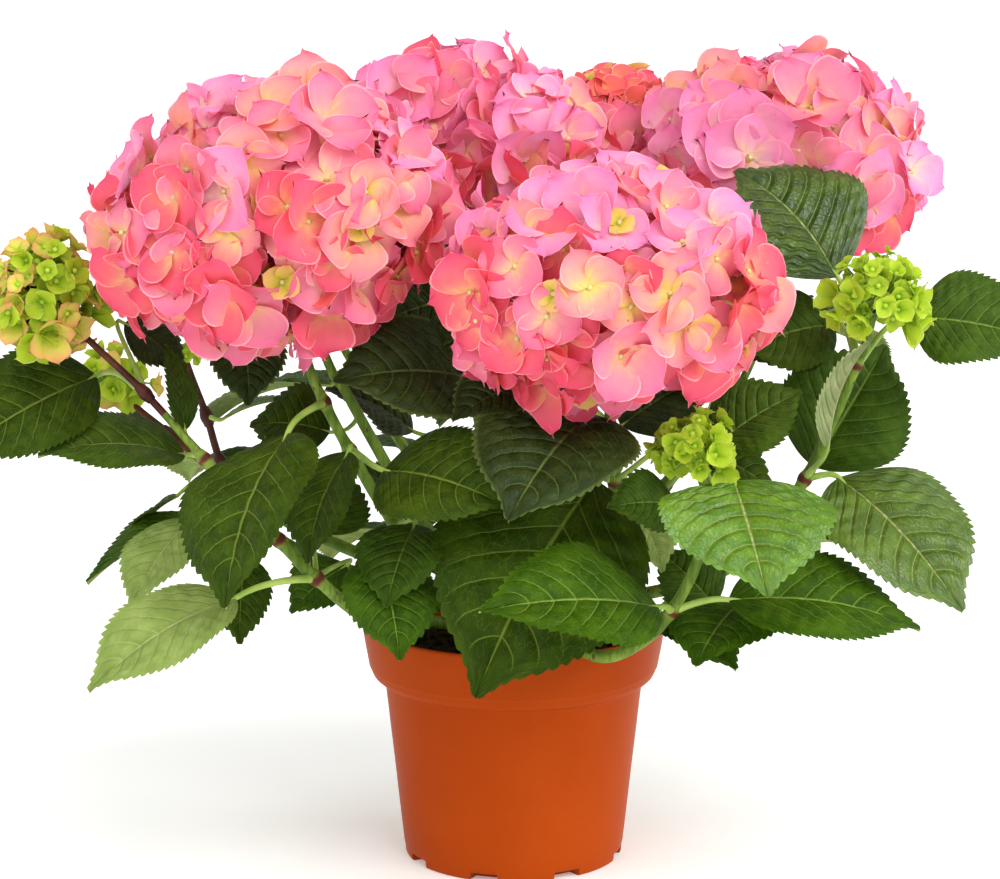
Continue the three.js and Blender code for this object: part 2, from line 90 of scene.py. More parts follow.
# A blade row is [node, foot, tip, width, roll, tone]; a fan row is [node, bearing, length, rise].
SHOOTS = [
    {"name": "left",
     "nodes": [[-15, -2], [-31, -14, 134], [-53, -38, 164], [-73, -45, 200], [-84, -46, 222],
               [-92, -46, 243]],
     "blades": [
         [4, [-99, -75, 214], [-123, -133, 151], 76, 22, "deep"],
         [3, [-73, -61, 203], [-90, -84, 158], 43, 11, "deep"],
         [3, [-57, -71, 197], [-3, -110, 190], 58, 35, "deep"],
         [2, [-44, -56, 169], [-56, -86, 139], 42, 0, "mid"],
         [2, [-60, -60, 156], [-50, -90, 116], 44, 0, "bright"],
     ]},
    {"name": "left_second",
     "nodes": [[-6, -5], [-20, -16, 134], [-44, -32, 168], [-63, -38, 203], [-75, -40, 226],
               [-83, -40, 240]],
     "into": "left"},
    {"name": "front",
     "nodes": [[-3, -13], [14, -25, 130], [38, -34, 156], [45, -42, 185], [43, -56, 212],
               [41, -64, 226]],
     "blades": [
         [3, [36, -46, 187], [-17, -97, 101], 98, -33, "deep"],
         [4, [33, -70, 222], [-3, -128, 188], 76, -10, "dark"],
         [3, [50, -40, 176], [66, -52, 146], 38, 0, "pale"],
         [4, [48, -25, 207], [86, -10, 226], 50, 35, "dark"],
         [3, [76, -36, 200], [116, -42, 181], 36, 35, "deep"],
         [4, [7, -54, 232], [-27, -80, 221], 36, -25, "dark"],
     ]},
    {"name": "centre",
     "nodes": [[0, 0], [-6, 8, 150], [-14, 12, 190], [-20, 20, 230], [-24, 36, 262],
               [-24, 48, 284]],
     "blades": [
         [3, [-16, -30, 229], [-79, -68, 236], 66, -38, "dark"],
         [3, [-34, -5, 242], [-17, -12, 296], 58, 80, "dark"],
         [3, [-22, -4, 262], [-64, -16, 251], 52, -40, "dark"],
         [2, [-46, 6, 198], [-86, 4, 218], 40, -20, "dark"],
         [1, [-44, 5, 160], [-76, 2, 182], 36, -10, "deep"],
     ]},
    {"name": "right",
     "nodes": [[13, 4], [36, 13, 131], [62, 22, 158], [90, 34, 196], [112, 46, 236],
               [120, 54, 262]],
     "blades": [
         [3, [92, -4, 238], [62, -20, 226], 40, -20, "deep"],
         [4, [142, 12, 240], [106, -2, 233], 36, -35, "deep"],
     ],
     "fans": [[4, 38, 70, -10]]},
    {"name": "bud_front",
     "nodes": [[5, -12], [18, -58, 119], [38, -77, 114], [56, -78, 121], [69, -78, 135],
               [80, -82, 159], [86, -85, 187], [82, -85, 194]],
     "blades": [
         [4, [62, -96, 142], [-15, -137, 151], 60, -32, "bright"],
         [4, [94, -80, 141], [179, -74, 126], 56, 30, "bright"],
         [6, [95, -92, 197], [106, -148, 160], 78, 0, "light"],
         [6, [88, -58, 205], [127, -50, 228], 44, 35, "mid"],
         [6, [70, -85, 185], [40, -99, 187], 30, -50, "mid"],
     ]},
    {"name": "bud_right",
     "nodes": [[12, -6], [44, -12, 122], [85, -20, 134], [110, -20, 150], [132, -14, 180],
               [144, -22, 210], [153, -29, 236], [156, -34, 245]],
     "blades": [
         [4, [147, -20, 182], [198, -70, 133], 72, 15, "grey"],
         [4, [137, 2, 182], [171, 20, 235], 62, 50, "mid"],
         [4, [140, -34, 198], [156, -47, 250], 22, -11, "rolled"],
         [6, [180, -10, 254], [234, -22, 246], 58, 38, "mid"],
         [6, [145, -14, 273], [100, 8, 318], 80, -22, "sheen"],
         [6, [144, -12, 251], [102, -20, 240], 50, -38, "mid"],
         [3, [103, -50, 133], [79, -92, 114], 56, 0, "bright"],
         [2, [66, -42, 122], [98, -76, 108], 42, 0, "bright"],
         [2, [90, -42, 128], [66, -30, 150], 34, -40, "mid"],
         [3, [136, 8, 152], [182, 2, 146], 32, 20, "pale"],
     ],
     "fans": [[3, 25, 70, -10]]},
    {"name": "bud_left",
     "red": 5.6,
     "nodes": [[-14, -10], [-38, -28, 117], [-65, -42, 122], [-88, -58, 145], [-104, -58, 162],
               [-137, -50, 197], [-164, -40, 225], [-189, -28, 246]],
     "blades": [
         [3, [-122, -85, 143], [-183, -120, 111], 48, -20, "pale"],
         [4, [-146, -30, 165], [-171, -55, 129], 42, 0, "pale"],
         [5, [-147, -35, 196], [-211, -50, 199], 46, -22, "mid"],
         [6, [-189, -10, 227], [-250, -35, 196], 62, -35, "deep"],
         [5, [-148, -22, 204], [-157, -12, 242], 16, 0, "mid"],
         [6, [-176, -4, 250], [-149, -2, 229], 30, 40, "dark"],
         [3, [-76, -24, 142], [-101, -32, 122], 34, -30, "bright"],
         [3, [-88, -34, 160], [-76, -16, 186], 36, 50, "deep"],
     ]},
    {"name": "left_back",
     "red": 4,
     "nodes": [[-12, 6], [-55, 8, 124], [-98, 10, 140], [-122, 22, 155], [-136, 34, 176],
               [-143, 38, 198], [-150, 40, 217]],
     "blades": [
         [5, [-136, 32, 198], [-97, 30, 208], 14, 0, "light"],
         [4, [-156, 22, 164], [-177, 28, 142], 26, 0, "mid"],
         [3, [-123, 0, 140], [-125, -20, 104], 28, 0, "deep"],
     ],
     "fans": [[3, 200, 62, -12]]},
    {"name": "bud_back",
     "red": 3.5,
     "nodes": [[-15, 13], [-60, 24, 130], [-105, 34, 148], [-138, 46, 168], [-162, 55, 186],
               [-178, 60, 198]],
     "fans": [[3, 105, 66, -8], [4, 150, 56, -5]]},
    {"name": "back_left",
     "nodes": [[-7, 12], [-26, 30, 140], [-45, 42, 172], [-66, 48, 205], [-84, 52, 236]],
     "blades": [
         [3, [-84, 4, 198], [-121, 10, 200], 44, -38, "deep"],
         [4, [-124, 8, 248], [-120, -14, 214], 36, 0, "dark"],
     ],
     "fans": [[1, 130, 80, -10], [2, 85, 84, -8], [3, 140, 84, -8], [4, 100, 66, 12]]},
    {"name": "back_middle",
     "nodes": [[1, 14], [12, 38, 150], [24, 54, 195], [34, 70, 240], [42, 86, 285],
               [46, 95, 312]],
     "fans": [[1, 92, 84, -12], [2, 60, 80, -6], [2, 125, 82, -6], [3, 90, 70, 4],
              [4, 150, 56, -10]]},
    {"name": "back_right",
     "nodes": [[9, 12], [38, 42, 136], [72, 60, 160], [100, 78, 190], [118, 90, 222]],
     "fans": [[1, 20, 84, -10], [2, 70, 84, -8], [3, 34, 76, -4], [4, 62, 66, 6],
              [4, 120, 60, 12]]},
]


def table(keys, *rows):
    """Rows as dictionaries; a short row goes without the last keys."""
    return [dict(zip(keys.split(), row)) for row in rows]


# Blooms: the dome's centre and radii, how many florets it shows and how wide they are, the angle
# from its crown to its last florets, how its looks are dealt out ("cool" runs to lilac), how far
# out its florets stand as a share of the radii, and how far it leans to the right.
BLOOMS = table(
    "shoot centre radii florets size spread seed mood reach lean",
    ("left", [-106, -48, 304], [76, 60, 58], 118, 18.5, 140, 11, "warm", 0.90, 0.18),
    ("front", [37, -86, 279], [71, 48, 52], 82, 19, 128, 23, "soft", 0.90, 0.06),
    ("centre", [-24, 62, 322], [55, 44, 41], 66, 19, 130, 37, "rosy", 0.88),
    ("right", [124, 68, 312], [69, 50, 49], 84, 20, 128, 41, "cool", 0.87),
    ("back_middle", [48, 100, 331], [24, 22, 18], 34, 12.5, 125, 53, "young"),
)

# Florets that stand out of the domes: below the young bloom, in front of the centre bloom, and
# low on the left and the front bloom.
SPRAYS = table(
    "centre radii florets size spread seed mood",
    ([45, 86, 317], [31, 20, 17], 30, 18, 150, 59, "rosy"),
    ([4, 40, 322], [32, 24, 30], 24, 21, 130, 73, "cool"),
    ([-106, -62, 268], [22, 20, 12], 18, 18, 175, 79, "low"),
    ([86, -82, 268], [20, 18, 17], 16, 18, 170, 83, "low"),
    ([26, -88, 247], [26, 18, 12], 16, 18, 170, 89, "low"),
)

# Bud heads: small cupped florets round the dome, some of them ripe, and round buds between them.
BUD_HEADS = table(
    "shoot centre radii florets size buds spread seed ripe stems",
    ("bud_left", [-210, -25, 266], [20, 20, 28], 66, 7.8, 60, 140, 61, 0.45, "red"),
    ("bud_right", [160, -41, 268], [18, 18, 18], 48, 6.6, 60, 125, 67, 0, "green"),
    ("bud_front", [77, -85, 209], [16, 15, 15], 34, 6, 44, 120, 71, 0, "green"),
    ("bud_back", [-190, 62, 210], [14, 14, 13], 20, 7.5, 30, 120, 79, 0.5, "green"),
    ("left_back", [-153, 40, 227], [6, 6, 5], 6, 4.5, 12, 100, 73, 0, "red"),
)

# ---- small helpers


def seeded(seed):
    """The part's own seeded numbers from 0 to 1."""
    state = (seed * 7919 + 12345) % 233280

    def draw():
        nonlocal state
        state = (state * 9301 + 49297) % 233280
        return state / 233280

    return draw


def unit(v):
    return v / np.linalg.norm(v)


def point(row):
    return np.array(row if len(row) == 3 else [*row, CANE_START], float)


def turned(v, axis, angle):
    """v turned about a unit axis, in radians."""
    cos, sin = math.cos(angle), math.sin(angle)
    return v * cos + np.cross(axis, v) * sin + axis * (axis @ v) * (1 - cos)


def tapered(ends, share):
    """A radius that goes from the first of ends to the second."""
    return ends[0] + (ends[1] - ends[0]) * share


def circle(turns, side, other):
    """Points on a circle of radius 1 in the plane of two ways."""
    return np.cos(turns)[:, None] * side + np.sin(turns)[:, None] * other


def grid_places(rows, columns):
    """The map places of a grid, from those of its rows and of its columns."""
    return np.stack(np.meshgrid(rows, columns, indexing="ij"), -1)


def wobble(random):
    """A random way, up to half a unit along each axis."""
    return np.array([random() - 0.5 for _ in range(3)])


def smoothstep(x, low, high):
    t = np.clip((x - low) / (high - low), 0, 1)
    return t * t * (3 - 2 * t)


def along(nodes, t):
    """A point on the smooth line through the nodes; t counts nodes."""
    last = len(nodes) - 1
    k = min(int(t), last - 1)
    f = t - k
    b, c = nodes[k], nodes[k + 1]
    a = nodes[k - 1] if k > 0 else 2 * b - c
    d = nodes[k + 2] if k + 2 <= last else 2 * c - b
    return 0.5 * (2 * b + (c - a) * f + (2 * a - 5 * b + 4 * c - d) * f * f
                  + (3 * b - a - 3 * c + d) * f * f * f)


class Heap:
    """Grids of points gathered into one joined mesh, with a place on the map for each point."""

    def __init__(self):
        self.points, self.quads, self.places, self.count = [], [], [], 0

    def grid(self, points, places, closed=False, flipped=False):
        """Adds rows of points; closed joins each row's last point to its first, and flipped
        turns the faces over."""
        rows, columns = points.shape[:2]
        wide = columns if closed else columns - 1
        r, c = np.mgrid[0:rows - 1, 0:wide]
        following = (c + 1) % columns
        quads = np.stack([r * columns + c, r * columns + following,
                          (r + 1) * columns + following, (r + 1) * columns + c], -1)
        quads = quads.reshape(-1, 4)
        flat = places.reshape(-1, 2)
        corners = flat[quads]
        if closed:
            seam = (following == 0).ravel()
            corners[seam, 1:3, 1] = 1
        if flipped:
            quads, corners = quads[:, ::-1], corners[:, ::-1]
            quads, corners = np.roll(quads, 1, 1), np.roll(corners, 1, 1)
        self.points.append(points.reshape(-1, 3))
        self.quads.append(quads + self.count)
        self.places.append(corners)
        self.count += rows * columns

    def tube(self, path, radii, sides, strip=(0, 1)):
        """A round limb along path, its map place u along it and v round it within strip."""
        ways = np.gradient(path, axis=0)
        side = np.array([1.0, 0.1, 0.05])
        turns = np.arange(sides) * 2 * math.pi / sides
        rows = []
        for centre, way, radius in zip(path, ways, radii):
            way = unit(way)
            side = unit(side - way * (side @ way))
            other = np.cross(way, side)
            rows.append(centre + radius * circle(turns, side, other))
        u = np.linspace(0.001, 0.999, len(path))
        around = np.arange(sides) / sides
        low, high = strip
        places = grid_places(u, low + (high - low) * around)
        first = len(self.places)
        self.grid(np.array(rows), places, closed=True)
        corners = self.places[first]
        corners[..., 1] = np.minimum(corners[..., 1], high)

    def ball(self, centre, radius, axis=UP, stretch=1.0, rings=6, sides=8):
        """A round bead, drawn out along axis."""
        side = unit(np.cross(axis, OFF_AXIS))
        other = np.cross(axis, side)
        polar = np.linspace(0.06, math.pi - 0.06, rings)
        turns = np.arange(sides) * 2 * math.pi / sides
        rows = [centre - axis * math.cos(p) * radius * stretch
                + radius * math.sin(p) * circle(turns, side, other) for p in polar]
        places = grid_places(np.linspace(0.01, 0.99, rings), np.arange(sides) / sides)
        self.grid(np.array(rows), places, closed=True)


def placed(name, data):
    """A new object in the scene that holds data."""
    made = bpy.data.objects.new(name, data)
    bpy.context.scene.collection.objects.link(made)
    return made


def piece(name, heap, material, replaces=()):
    """One joined mesh that rides with the plant."""
    mesh = bpy.data.meshes.new(name)
    quads = np.concatenate(heap.quads)
    mesh.from_pydata(np.concatenate(heap.points) * MM, [], quads)
    layer = mesh.uv_layers.new(name=BAKE_MAP)
    layer.uv.foreach_set("vector", np.concatenate(heap.places).astype(np.float32).ravel())
    mesh.polygons.foreach_set("use_smooth", np.ones(len(quads), bool))
    mesh.materials.append(material)
    mesh.update()
    made = placed(name, mesh)
    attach(made, "root")
    if replaces:
        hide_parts(*replaces)


# ---- materials


class Graph:
    """A material and short names for the nodes that it is made of."""

    def __init__(self, name, roughness=0.5, specular=0.2):
        self.material = bpy.data.materials.new(name)
        self.material.use_nodes = True
        self.tree = self.material.node_tree
        self.shader = self.tree.nodes["Principled BSDF"]
        self.shader.inputs["Roughness"].default_value = roughness
        self.shader.inputs["Specular IOR Level"].default_value = specular

    def put(self, socket, value):
        if isinstance(value, bpy.types.NodeSocket):
            self.tree.links.new(value, socket)
        elif isinstance(value, (tuple, list)) and len(value) == 3 and socket.type == "RGBA":
            socket.default_value = (*value, 1)
        else:
            socket.default_value = value

    def set(self, name, value):
        self.put(self.shader.inputs[name], value)

    def node(self, kind, inputs, out=0, **settings):
        """One output of a new node with these settings and inputs."""
        made = self.tree.nodes.new("ShaderNode" + kind)
        for name, value in settings.items():
            setattr(made, name, value)
        for name, value in inputs.items():
            self.put(made.inputs[name], value)
        return made.outputs[out]

    def math(self, operation, *values):
        return self.node("Math", dict(enumerate(values)), operation=operation)

    def step(self, x, low, high):
        """Smoothly 0 to 1 as x goes from low to high."""
        inputs = {"Value": x, "From Min": low, "From Max": high}
        return self.node("MapRange", inputs, "Result", interpolation_type="SMOOTHSTEP")

    def times(self, a, b):
        return self.math("MULTIPLY", a, b)

    def fade(self, x, low, high):
        """Smoothly 1 to 0 as x goes from low to high."""
        return self.math("SUBTRACT", 1.0, self.step(x, low, high))

    def off_middle(self, x):
        """0 where x is a half, 1 where it is 0 or 1."""
        return self.math("ABSOLUTE", self.math("MULTIPLY_ADD", x, 2.0, -1.0))

    def mix(self, share, a, b):
        return self.node("Mix", {0: share, 6: a, 7: b}, 2, data_type="RGBA")

    def ramp(self, x, stops):
        node = self.tree.nodes.new("ShaderNodeValToRGB")
        node.color_ramp.interpolation = "B_SPLINE"
        elements = node.color_ramp.elements
        while len(elements) < len(stops):
            elements.new(0.5)
        for element, (place, colour) in zip(elements, stops):
            element.position = place
            element.color = (*colour, 1)
        self.put(node.inputs[0], x)
        return node.outputs["Color"]

    def places(self):
        """u and v of the piece's map."""
        uv = self.node("UVMap", {}, uv_map=BAKE_MAP)
        return [self.node("SeparateXYZ", {0: uv}, axis) for axis in (0, 1)]

    def vector(self, x, y):
        return self.node("CombineXYZ", {0: x, 1: y})

    def here(self):
        """The place in the part's frame, in metres."""
        return self.node("TexCoord", {}, "Object")

    def drawn_out(self, share):
        """The place with its height times share, which draws a pattern out upwards."""
        return self.node("Mapping", {"Vector": self.here(), "Scale": (1.0, 1.0, share)})

    def noise(self, vector, scale, detail):
        return self.node("TexNoise", {"Vector": vector, "Scale": scale, "Detail": detail}, "Fac")

    def cells(self, vector, scale, feature="DISTANCE_TO_EDGE"):
        inputs = {"Vector": vector, "Scale": scale}
        return self.node("TexVoronoi", inputs, "Distance", feature=feature)

    def bump(self, height, distance, strength=1.0):
        inputs = {"Height": height, "Distance": distance * MM, "Strength": strength}
        self.set("Normal", self.node("Bump", inputs))


VEINS = 8
VEIN_LEAD = 0.42
VEIN_BEND = 1.1
VEIN_CLOSE = 0.8


def vein_count(s, q):
    """Counts side veins along the blade: whole numbers lie on a vein. q is 0 at the midrib."""
    lead = VEIN_LEAD * np.abs(q) ** VEIN_BEND
    return (s - lead) / (1 - VEIN_CLOSE * lead) * VEINS


def leaf_material(name, shade, light, vein, roughness, gloss=0.08, relief=0.5, edge=0.0):
    """A veined blade: u runs from its foot to its tip and v across it."""
    g = Graph(name, specular=gloss)
    u, v = g.places()
    q = g.off_middle(v)
    lead = g.times(g.math("POWER", q, VEIN_BEND), VEIN_LEAD)
    closing = g.math("MULTIPLY_ADD", lead, -VEIN_CLOSE, 1.0)
    count = g.times(g.math("DIVIDE", g.math("SUBTRACT", u, lead), closing), float(VEINS))
    off = g.math("PINGPONG", count, 0.5)
    side = g.fade(off, 0.010, 0.045)
    side = g.times(side, g.fade(q, 0.55, 0.98))
    side = g.times(side, g.step(count, -0.3, 0.1))
    before_tip = g.fade(u, 0.78, 0.92)
    side = g.times(side, before_tip)
    middle = g.fade(q, 0.008, 0.032)
    net = g.cells(g.vector(count, g.times(q, 7.0)), 2.4)
    net = g.fade(net, 0.0, 0.07)
    mottle = g.noise(g.vector(g.times(u, 5.0), g.times(v, 4.0)), 1.3, 4.0)
    colour = g.mix(g.step(mottle, 0.35, 0.7), shade, light)
    colour = g.mix(g.times(net, 0.16), colour, vein)
    colour = g.mix(g.times(side, 0.6), colour, vein)
    colour = g.mix(g.times(middle, 0.85), colour, vein)
    if edge:
        rim = g.times(g.step(q, 0.93, 1.0), edge)
        colour = g.mix(rim, colour, vein)
    g.set("Base Color", colour)
    g.set("Roughness", g.math("MULTIPLY_ADD", mottle, 0.22, roughness - 0.1))
    grain = g.noise(g.vector(g.times(u, 60.0), g.times(v, 40.0)), 1.0, 3.0)
    height = g.math("MULTIPLY_ADD", net, -0.35, g.times(grain, 0.3))
    valley = g.fade(off, 0.0, 0.28)
    valley = g.times(valley, g.fade(q, 0.6, 1.0))
    valley = g.times(valley, before_tip)
    height = g.math("SUBTRACT", height, g.times(valley, 1.6))
    height = g.math("SUBTRACT", height, g.times(side, 0.5))
    height = g.math("SUBTRACT", height, middle)
    g.bump(height, relief, 0.8)
    return g.material


THROUGH_SEPALS = 0.28


def sepal_material(name, heart, middle, outer, tip, rim=(0.98, 0.62, 0.64)):
    """A sepal's colours from its heart to its tip, with a highlight painted along its edges; some
    light comes through it.
    """
    g = Graph(name, 0.55)
    u, v = g.places()
    q = g.off_middle(v)
    drift = g.noise(g.vector(g.times(u, 3.0), g.times(v, 3.0)), 1.4, 3.0)
    radial = g.math("MULTIPLY_ADD", g.math("SUBTRACT", drift, 0.5), 0.3, u)
    colour = g.ramp(radial, [(0.06, heart), (0.20, middle), (0.46, outer), (1.0, tip)])
    fan = g.noise(g.vector(g.times(v, 26.0), g.times(u, 1.6)), 1.0, 3.0)
    colour = g.mix(g.times(g.step(fan, 0.45, 0.8), 0.4), colour, tip)
    band = g.math("MAXIMUM", g.step(q, 0.55, 0.88), g.step(u, 0.70, 0.94))
    colour = g.mix(g.times(band, 0.35), colour, tip)
    # Painted highlight: the rim colour laid along the sepal's edges stands for light catching them.
    edge_highlight = g.math("MAXIMUM", g.step(q, 0.91, 0.97), g.step(u, 0.955, 0.985))
    colour = g.mix(g.times(edge_highlight, 0.6), colour, rim)
    g.set("Base Color", colour)
    g.bump(fan, 0.25, 0.5)
    through = g.tree.nodes.new("ShaderNodeBsdfTranslucent")
    g.put(through.inputs["Color"], colour)
    both = g.tree.nodes.new("ShaderNodeMixShader")
    both.inputs[0].default_value = THROUGH_SEPALS
    g.put(both.inputs[1], g.shader.outputs[0])
    g.put(both.inputs[2], through.outputs[0])
    g.put(g.tree.nodes["Material Output"].inputs["Surface"], both.outputs[0])
    return g.material


def plain_material(name, low, high, scale, roughness, relief=0.3):
    """Two plain tones that wander into each other, with a fine relief."""
    g = Graph(name, roughness)
    wander = g.noise(g.here(), scale, 4.0)
    g.set("Base Color", g.mix(g.step(wander, 0.35, 0.65), low, high))
    g.bump(g.noise(g.here(), scale * 6, 4.0), relief, 0.6)
    return g.material


def cane_material():
    """Green bark with darker streaks and brown specks along it."""
    g = Graph("cane_green_bark")
    wander = g.noise(g.here(), 60.0, 3.0)
    colour = g.mix(g.step(wander, 0.35, 0.7), (0.10, 0.18, 0.015), (0.22, 0.33, 0.04))
    streak = g.step(g.noise(g.drawn_out(0.06), 520.0, 2.0), 0.42, 0.62)
    colour = g.mix(g.times(streak, 0.6), colour, (0.055, 0.11, 0.008))
    speck = g.fade(g.cells(g.drawn_out(0.45), 300.0, "F1"), 0.12, 0.26)
    speck = g.times(speck, g.step(g.noise(g.here(), 90.0, 1.0), 0.45, 0.52))
    colour = g.mix(g.times(speck, 0.9), colour, (0.07, 0.03, 0.012))
    g.set("Base Color", colour)
    g.bump(g.math("ADD", g.times(speck, 0.6), g.noise(g.here(), 700.0, 2.0)), 0.3, 0.5)
    return g.material


def joint_material():
    """Red-brown round the middle of a joint, fading into the cane's green at both ends."""
    g = Graph("cane_joint_red", 0.6)
    u, _ = g.places()
    wander = g.noise(g.here(), 220.0, 3.0)
    share = g.step(g.math("MULTIPLY_ADD", wander, 1.2, g.off_middle(u)), 0.7, 1.3)
    red = g.mix(wander, (0.06, 0.010, 0.006), (0.17, 0.036, 0.018))
    g.set("Base Color", g.mix(share, red, (0.20, 0.30, 0.04)))
    g.bump(wander, 0.3, 0.6)
    return g.material


def pot_material():
    """Moulded plastic with faint clouds and a fine grain."""
    g = Graph("pot_terracotta_plastic", specular=0.04)
    cloud = g.noise(g.here(), 14.0, 4.0)
    colour = g.mix(g.step(cloud, 0.3, 0.75), (0.350, 0.044, 0.002), (0.400, 0.056, 0.003))
    fine = g.noise(g.here(), 900.0, 3.0)
    colour = g.mix(g.times(g.step(fine, 0.55, 0.75), 0.12), colour, (0.50, 0.10, 0.02))
    g.set("Base Color", colour)
    g.set("Roughness", g.math("MULTIPLY_ADD", cloud, 0.16, 0.34))
    g.bump(fine, 0.06, 0.4)
    return g.material


# Each tone's material, shade, light and vein colours, roughness, gloss, relief and pale rim.
LEAF_ROWS = {
    "dark": ("darkest", (0.013, 0.030, 0.003), (0.032, 0.058, 0.008), (0.15, 0.22, 0.05),
             0.40, 0.2, 0.8, 0.55),
    "deep": ("deep", (0.022, 0.048, 0.001), (0.044, 0.084, 0.003), (0.20, 0.28, 0.04), 0.45),
    "mid": ("mid", (0.030, 0.070, 0.002), (0.058, 0.116, 0.006), (0.22, 0.32, 0.06), 0.45, 0.12),
    "sheen": ("sheen", (0.026, 0.066, 0.001), (0.070, 0.132, 0.004), (0.30, 0.38, 0.10),
              0.30, 0.55, 2.0),
    "grey": ("grey_sheen", (0.058, 0.120, 0.004), (0.112, 0.200, 0.010), (0.38, 0.46, 0.14),
             0.34, 0.6, 1.2),
    "bright": ("bright", (0.026, 0.072, 0.001), (0.054, 0.122, 0.002), (0.25, 0.38, 0.06), 0.42),
    "light": ("light", (0.068, 0.180, 0.002), (0.135, 0.285, 0.008), (0.40, 0.52, 0.14),
              0.36, 0.5, 1.2),
    "pale": ("pale_back", (0.200, 0.290, 0.060), (0.290, 0.390, 0.100), (0.46, 0.54, 0.20), 0.6),
    "rolled": ("rolled", (0.32, 0.40, 0.16), (0.46, 0.54, 0.25), (0.60, 0.68, 0.38), 0.6),
}
LEAF_TONES = {tone: leaf_material("leaf_" + row[0], *row[1:]) for tone, row in LEAF_ROWS.items()}

# Each look's colours from the heart to the tip and, where it isn't pink, its rim, the colour of
# the highlight painted along its edges.
SEPAL_COLOURS = {
    "rose": ((0.94, 0.68, 0.30), (0.97, 0.48, 0.40), (0.96, 0.30, 0.40), (0.92, 0.17, 0.34)),
    "peach": ((0.84, 0.78, 0.14), (0.98, 0.66, 0.30), (0.97, 0.44, 0.35), (0.94, 0.23, 0.34)),
    "coral": ((0.94, 0.54, 0.24), (0.95, 0.32, 0.23), (0.93, 0.16, 0.21), (0.90, 0.085, 0.19),
              (0.98, 0.50, 0.48)),
    "blush": ((0.96, 0.72, 0.46), (0.98, 0.56, 0.60), (0.98, 0.41, 0.63), (0.96, 0.24, 0.52)),
    "flame": ((0.92, 0.52, 0.12), (0.92, 0.28, 0.13), (0.90, 0.18, 0.14), (0.86, 0.12, 0.14)),
    "lime": ((0.34, 0.46, 0.03), (0.66, 0.66, 0.05), (0.86, 0.70, 0.12), (0.93, 0.56, 0.24),
             (0.94, 0.74, 0.40)),
    "bud_green": ((0.14, 0.29, 0.008), (0.30, 0.49, 0.012), (0.48, 0.65, 0.030),
                  (0.54, 0.70, 0.045), (0.84, 0.92, 0.34)),
    "bud_ripe": ((0.34, 0.56, 0.03), (0.58, 0.74, 0.05), (0.78, 0.86, 0.12), (0.94, 0.38, 0.20),
                 (0.94, 0.40, 0.26)),
}
SEPAL_LOOKS = {look: sepal_material("sepal_" + look, *row) for look, row in SEPAL_COLOURS.items()}

# ---- leaves

TEETH = 24
TOOTH = 1.65
COLUMNS = np.array([-1, -0.955, -0.86, -0.7, -0.5, -0.3, -0.14, -0.045, 0,
                    0.045, 0.14, 0.3, 0.5, 0.7, 0.86, 0.955, 1])


def leaf_rows(teeth):
    """Places along the blade, three to a tooth, and how far the tooth stands out there."""
    places, out = [], []
    for k in range(teeth):
        for part, height in ((0.0, 0.0), (0.45, 0.7), (0.82, 1.0)):
            places.append((k + part) / teeth)
            out.append(height)
    places.append(1.0)
    out.append(0.0)
    places, out = np.array(places), np.array(out)
    return places, out * smoothstep(places, 0.04, 0.16) * (1 - 0.5 * smoothstep(places, 0.7, 1))


def leaf_outline(s):
    """Half the blade's width as a share of its greatest, drawn out to a point at the tip."""
    drawn_out = 1 - 0.32 * np.exp(-((s - 0.93) / 0.09) ** 2)
    return np.sin(np.pi * np.clip(s, 0, 1) ** 0.75) ** 0.85 * drawn_out


def fan_blade(nodes, row):
    """A fan row written out as a blade row."""
    node, bearing, length, rise = row
    turn, lift = math.radians(bearing), math.radians(rise)
    way = np.array([math.cos(turn) * math.cos(lift), math.sin(turn) * math.cos(lift),
                    math.sin(lift)])
    foot = nodes[node] + way * FAN["petiole"] * length
    foot[2] += FAN["lift"] * length
    tip = foot + way * length
    tip[2] -= FAN["droop"] * length
    tone = ("deep", "mid", "deep", "bright")[(bearing + node) % 4]
    return [node, foot, tip, FAN["width"] * length, 0, tone]


def blade_shape(S, Q, tooth, reach, width, small, fold, random):
    """How far the points of a blade lie ahead of its foot, aside and above, and how far its
    underside lies below them. S runs along the blade and Q across it, from -1 to 1."""
    half = width / 2 * np.maximum(leaf_outline(S), 0.006 + 0.03 * (1 - S))
    bow = LEAF_BOW * (random() - 0.5)
    twist = math.radians(LEAF_TWIST) * (random() - 0.5)
    wave = LEAF_WAVE + LEAF_WAVE * random()
    phase = 6.3 * random()
    rim = (np.abs(Q) > 0.99) * tooth[:, None] * TOOTH
    across = half * Q + np.sign(Q) * rim * (0.5 + small / 2)
    lift = np.abs(across) * math.sin(fold) * (1.25 - 0.8 * np.abs(Q))
    across = across * math.cos(fold)
    between = (1 - np.cos(2 * np.pi * vein_count(S, Q))) / 2
    puff = between * np.abs(Q) ** 0.45 * (1 - smoothstep(np.abs(Q), 0.75, 1.0))
    puff = puff * LEAF_PUFF * width * smoothstep(S, 0.0, 0.15) * (1 - smoothstep(S, 0.8, 1))
    lift = lift + puff
    lift = lift + wave * half * Q ** 2 * np.sin(9.0 * S + phase + 1.2 * np.sign(Q))
    lift = lift - LEAF_GROOVE * small * np.exp(-(Q / 0.07) ** 2)
    angle = twist * (S - 0.35)
    aside = across * np.cos(angle) - lift * np.sin(angle)
    above = across * np.sin(angle) + lift * np.cos(angle)
    forward = reach * S + 0.6 * rim
    above = above + 4 * LEAF_ARCH * reach * S * (1 - S)
    aside = aside + 4 * bow * reach * S * (1 - S)
    rib = LEAF_RIB * small * np.exp(-(Q / 0.06) ** 2)
    return forward, aside, above, LEAF_THICKNESS * (1 - np.abs(Q) ** 8) + rib


